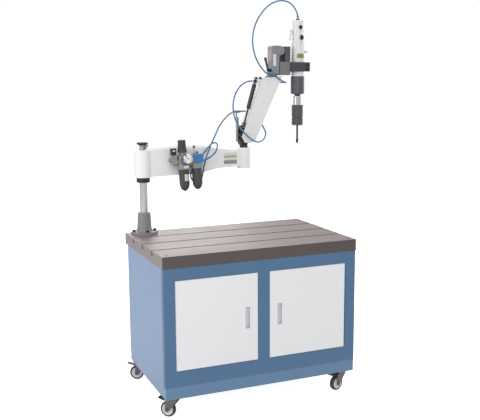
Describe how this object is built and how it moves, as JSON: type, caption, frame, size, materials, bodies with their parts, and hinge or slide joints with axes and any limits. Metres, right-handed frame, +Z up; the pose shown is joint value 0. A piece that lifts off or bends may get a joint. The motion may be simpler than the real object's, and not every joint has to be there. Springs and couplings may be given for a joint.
{
  "type": "arm tapping machine",
  "caption": "Air-powered tapping tool on a jointed swing arm with a parallel-link boom, on a column over a slotted iron table with a castor cabinet.",
  "frame": {"origin": "on the floor under the middle of the table, which is the middle of the part's box without its free hoses", "axes": "+Z up, +X to the right along the table, +Y to the back, where the column stands; the front with the doors faces -Y"},
  "size_m": [1.0461, 0.643, 1.9706],
  "materials": {
    "air_grey": "warm grey paint",
    "black_plastic": "black moulded plastic",
    "black_steel": "black oxide or black paint",
    "block_grey": "grey anodised",
    "blue_frame": "blue powder coat",
    "blue_sheet": "light blue powder coat",
    "bowl_grey": "dark grey paint",
    "brass_fitting": "bare brass",
    "bronze": "oil-filled bronze",
    "cover_blue": "blue moulded cover",
    "dial_white": "white dial in a bright case",
    "grey_iron": "dark grey paint",
    "grey_plastic": "moulded grey plastic",
    "ground_steel": "ground and polished",
    "head_grey": "dark grey paint",
    "hose_blue": "blue polyurethane",
    "motor_white": "white glossy shell",
    "table_iron": "machined iron face, dull brown-grey rim",
    "tap_steel": "dark tool steel",
    "tool_dark": "dark oxide",
    "tyre": "dark grey tread on a pale centre",
    "white_casting": "white enamel",
    "white_door": "off-white powder coat",
    "zinc": "zinc plated"
  },
  "bodies": {
    "bench": {"cabinet_shell": "blue_sheet", "front_frame": "blue_frame", "table_top": "table_iron", "bench_screws": "black_steel", "column_base": "grey_iron", "column": "ground_steel", "castor_plates": "zinc"},
    "door_left": {"door_left": "white_door", "pull_left": "grey_plastic"},
    "door_right": {"door_right": "white_door", "pull_right": "grey_plastic"},
    "collar": {"column_collar": "zinc"},
    "top_knob": {"top_knob": "black_plastic"},
    "arm": {"lower_arm": "white_casting", "arm_bushes": "bronze", "air_bracket": "black_steel", "air_bodies": "air_grey", "air_bowls": "bowl_grey", "pressure_gauge": "dial_white", "lubricator_cover": "cover_blue", "shutoff_body": "zinc", "hose_feed": "hose_blue"},
    "shutoff": {"shutoff_knob": "black_plastic"},
    "regulator": {"regulator_knob": "black_plastic"},
    "elbow": {"elbow_bracket": "black_steel", "elbow_post": "ground_steel", "lift_pins": "ground_steel", "hose_loop": "hose_blue"},
    "boom": {"upper_arm": "white_casting", "hose_head": "hose_blue"},
    "link": {"parallel_link": "black_steel"},
    "gas_cylinder": {"gas_cylinder": "black_steel"},
    "gas_rod": {"gas_rod": "ground_steel"},
    "head": {"head_housing": "head_grey", "head_pins": "ground_steel", "hose_tool": "hose_blue"},
    "clamp_lever": {"clamp_lever": "black_plastic"},
    "tool": {"head_bracket": "block_grey", "tool_clamp": "tool_dark", "motor_body": "motor_white", "air_fittings": "brass_fitting", "gearbox": "tool_dark"},
    "trigger": {"trigger_lever": "ground_steel"},
    "button_upper": {"button_upper": "black_plastic"},
    "button_lower": {"button_lower": "black_plastic"},
    "spindle": {"spindle": "ground_steel", "chuck": "tool_dark", "tap": "tap_steel"},
    "castor_fl": {"castor_fork_fl": "zinc"},
    "wheel_fl": {"castor_wheel_fl": "tyre"},
    "brake_fl": {"brake_pedal_fl": "black_steel"},
    "castor_fr": {"castor_fork_fr": "zinc"},
    "wheel_fr": {"castor_wheel_fr": "tyre"},
    "brake_fr": {"brake_pedal_fr": "black_steel"},
    "castor_bl": {"castor_fork_bl": "zinc"},
    "wheel_bl": {"castor_wheel_bl": "tyre"},
    "brake_bl": {"brake_pedal_bl": "black_steel"},
    "castor_br": {"castor_fork_br": "zinc"},
    "wheel_br": {"castor_wheel_br": "tyre"},
    "brake_br": {"brake_pedal_br": "black_steel"}
  },
  "joints": [
    {"name": "door_left_hinge", "type": "hinge", "parent": "bench", "child": "door_left", "pos_m": [-0.4365, -0.3145, 0.45], "axis": [0, 0, -1], "range_deg": [0, 90]},
    {"name": "door_right_hinge", "type": "hinge", "parent": "bench", "child": "door_right", "pos_m": [0.4365, -0.3145, 0.45], "axis": [0, 0, 1], "range_deg": [0, 90]},
    {"name": "castor_fl_swivel", "type": "hinge", "parent": "bench", "child": "castor_fl", "pos_m": [-0.445, -0.281, 0.09], "axis": [0, 0, 1], "continuous": true},
    {"name": "castor_fl_roll", "type": "hinge", "parent": "castor_fl", "child": "wheel_fl", "pos_m": [-0.46621, -0.25979, 0.0375], "axis": [-0.7071, -0.7071, 0], "continuous": true},
    {"name": "castor_fl_brake", "type": "hinge", "parent": "castor_fl", "child": "brake_fl", "pos_m": [-0.46409, -0.26191, 0.085], "axis": [-0.7071, -0.7071, 0], "range_deg": [0, 10]},
    {"name": "castor_fr_swivel", "type": "hinge", "parent": "bench", "child": "castor_fr", "pos_m": [0.445, -0.281, 0.09], "axis": [0, 0, 1], "continuous": true},
    {"name": "castor_fr_roll", "type": "hinge", "parent": "castor_fr", "child": "wheel_fr", "pos_m": [0.41631, -0.28977, 0.0375], "axis": [0.2924, -0.9563, 0], "continuous": true},
    {"name": "castor_fr_brake", "type": "hinge", "parent": "castor_fr", "child": "brake_fr", "pos_m": [0.41918, -0.28889, 0.085], "axis": [0.2924, -0.9563, 0], "range_deg": [0, 10]},
    {"name": "castor_bl_swivel", "type": "hinge", "parent": "bench", "child": "castor_bl", "pos_m": [-0.445, 0.249, 0.09], "axis": [0, 0, 1], "continuous": true},
    {"name": "castor_bl_roll", "type": "hinge", "parent": "castor_bl", "child": "wheel_bl", "pos_m": [-0.47262, 0.26072, 0.0375], "axis": [-0.3907, -0.9205, 0], "continuous": true},
    {"name": "castor_bl_brake", "type": "hinge", "parent": "castor_bl", "child": "brake_bl", "pos_m": [-0.46985, 0.25955, 0.085], "axis": [-0.3907, -0.9205, 0], "range_deg": [0, 10]},
    {"name": "castor_br_swivel", "type": "hinge", "parent": "bench", "child": "castor_br", "pos_m": [0.445, 0.249, 0.09], "axis": [0, 0, 1], "continuous": true},
    {"name": "castor_br_roll", "type": "hinge", "parent": "castor_br", "child": "wheel_br", "pos_m": [0.41602, 0.25677, 0.0375], "axis": [-0.2588, -0.9659, 0], "continuous": true},
    {"name": "castor_br_brake", "type": "hinge", "parent": "castor_br", "child": "brake_br", "pos_m": [0.41892, 0.25599, 0.085], "axis": [-0.2588, -0.9659, 0], "range_deg": [0, 10]},
    {"name": "collar_slide", "type": "slide", "parent": "bench", "child": "collar", "axis": [0, 0, 1], "range_m": [-0.14, 0]},
    {"name": "top_knob_turn", "type": "hinge", "parent": "bench", "child": "top_knob", "pos_m": [-0.415, 0.252, 1.22], "axis": [0, 0, 1], "range_deg": [0, 90]},
    {"name": "arm_swing", "type": "hinge", "parent": "collar", "child": "arm", "pos_m": [-0.415, 0.252, 1.14], "axis": [0, 0, 1], "range_deg": [-135, 135]},
    {"name": "shutoff_turn", "type": "hinge", "parent": "arm", "child": "shutoff", "pos_m": [-0.27979, 0.165, 1.19092], "axis": [-0.061, 0, 0.9981], "range_deg": [0, 90]},
    {"name": "regulator_turn", "type": "hinge", "parent": "arm", "child": "regulator", "pos_m": [-0.23311, 0.165, 1.21381], "axis": [-0.061, 0, 0.9981], "range_deg": [0, 270]},
    {"name": "elbow_swing", "type": "hinge", "parent": "arm", "child": "elbow", "pos_m": [0.141, 0.252, 1.15], "axis": [0, 0, 1], "range_deg": [-150, 150], "deforming": ["hose_feed"]},
    {"name": "lift", "type": "hinge", "parent": "elbow", "child": "boom", "pos_m": [0.153, 0.252, 1.286], "axis": [0, 1, 0], "range_deg": [0, 70], "deforming": ["hose_loop"]},
    {"name": "link_swing", "type": "hinge", "parent": "elbow", "child": "link", "pos_m": [0.1876, 0.252, 1.266], "axis": [0, 1, 0], "range_deg": [0, 70]},
    {"name": "gas_swing", "type": "hinge", "parent": "boom", "child": "gas_cylinder", "pos_m": [0.19999, 0.228, 1.552], "axis": [0, 1, 0], "range_deg": [-5, 5]},
    {"name": "gas_stroke", "type": "slide", "parent": "gas_cylinder", "child": "gas_rod", "axis": [-0.2789, 0, -0.9603], "range_m": [0, 0.05]},
    {"name": "head_level", "type": "hinge", "parent": "boom", "child": "head", "pos_m": [0.27502, 0.252, 1.56006], "axis": [0, 1, 0], "range_deg": [-70, 0], "deforming": ["hose_head"]},
    {"name": "clamp_lever_turn", "type": "hinge", "parent": "head", "child": "clamp_lever", "pos_m": [0.27802, 0.24, 1.60806], "axis": [1, 0, 0], "range_deg": [0, 75]},
    {"name": "head_tilt", "type": "hinge", "parent": "head", "child": "tool", "pos_m": [0.34502, 0.252, 1.71006], "axis": [0, -1, 0], "range_deg": [0, 90], "deforming": ["hose_tool"]},
    {"name": "trigger_press", "type": "hinge", "parent": "tool", "child": "trigger", "pos_m": [0.42402, 0.252, 1.81728], "axis": [0, -1, 0], "range_deg": [0, 7], "stiffness_Nm_per_rad": 1.5},
    {"name": "button_upper_press", "type": "slide", "parent": "tool", "child": "button_upper", "axis": [0, 1, 0], "range_m": [0, 0.003], "stiffness_N_per_m": 1500},
    {"name": "button_lower_press", "type": "slide", "parent": "tool", "child": "button_lower", "axis": [-0.2079, 0.9781, 0], "range_m": [0, 0.003], "stiffness_N_per_m": 1500},
    {"name": "spindle_turn", "type": "hinge", "parent": "tool", "child": "spindle", "pos_m": [0.46002, 0.252, 1.4], "axis": [0, 0, 1], "continuous": true}
  ],
  "couplings": [
    {"joint": "head_level", "follows": "lift", "ratio": -1},
    {"joint": "link_swing", "follows": "lift", "ratio": 1},
    {"joint": "gas_swing", "follows": "lift", "ratio": 0.004},
    {"joint": "gas_stroke", "follows": "lift", "m_per_rad": 0.0322}
  ]
}
